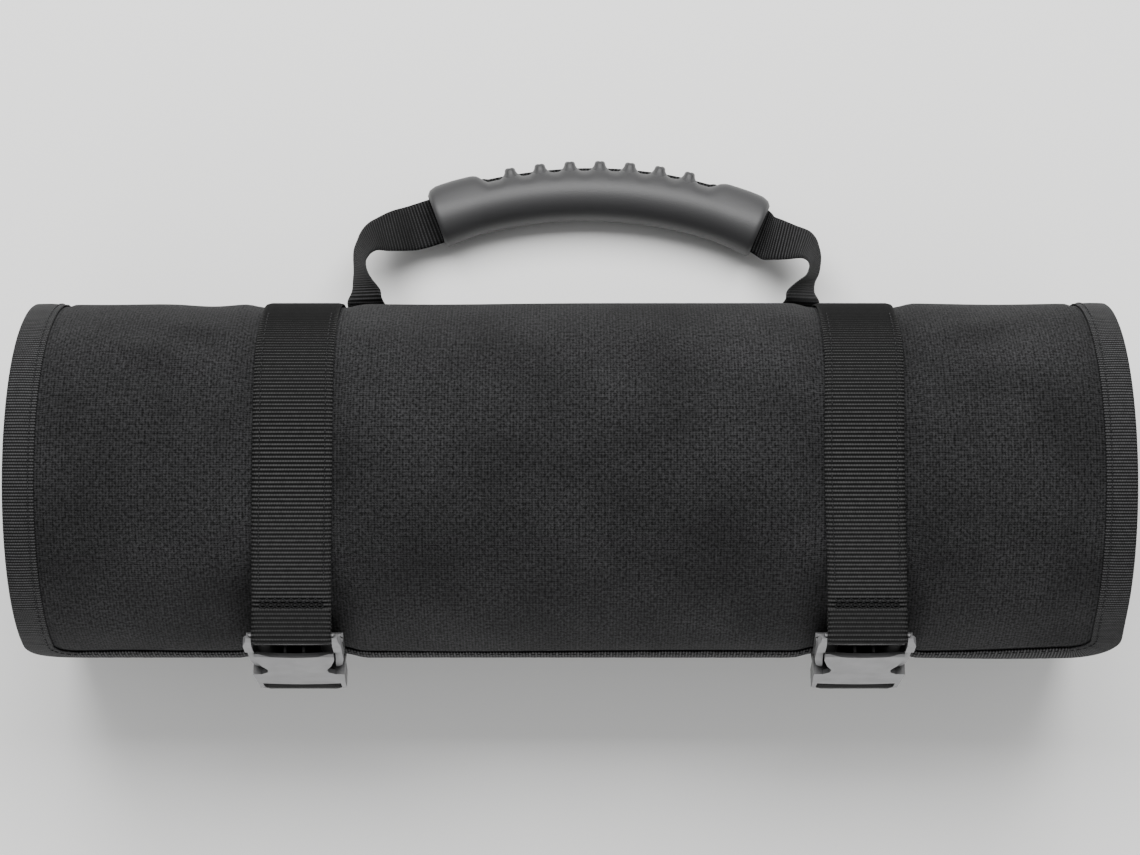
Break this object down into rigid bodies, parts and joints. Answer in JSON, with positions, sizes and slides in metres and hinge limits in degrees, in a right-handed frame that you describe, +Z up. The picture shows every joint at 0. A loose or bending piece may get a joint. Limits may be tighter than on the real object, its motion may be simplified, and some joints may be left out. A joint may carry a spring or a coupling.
{
  "type": "tool roll bag",
  "caption": "Cloth tool roll, rolled up and strapped shut with two buckled webbing straps, with a padded carrying handle.",
  "frame": {"origin": "on the surface it lies on, below the middle of the roll's axis", "axes": "+X along the roll, +Y towards the handle, +Z up; the bag lies on its back"},
  "size_m": [0.5406, 0.2857, 0.1769],
  "materials": {
    "cloth": "black coated canvas weave, matt",
    "binding_tape": "black ribbed tape, matt",
    "webbing": "black ribbed webbing, matt",
    "buckle_plastic": "grey moulded plastic, satin",
    "grip_rubber": "dark grey moulded rubber, satin"
  },
  "bodies": {
    "root": {"roll_panel": "cloth", "edge_binding": "binding_tape", "strap_left": "webbing", "strap_right": "webbing", "buckle_male_left": "buckle_plastic", "buckle_male_right": "buckle_plastic", "buckle_female_left": "buckle_plastic", "buckle_female_right": "buckle_plastic", "handle_webbing": "webbing", "handle_grip": "grip_rubber"}
  },
  "joints": []
}
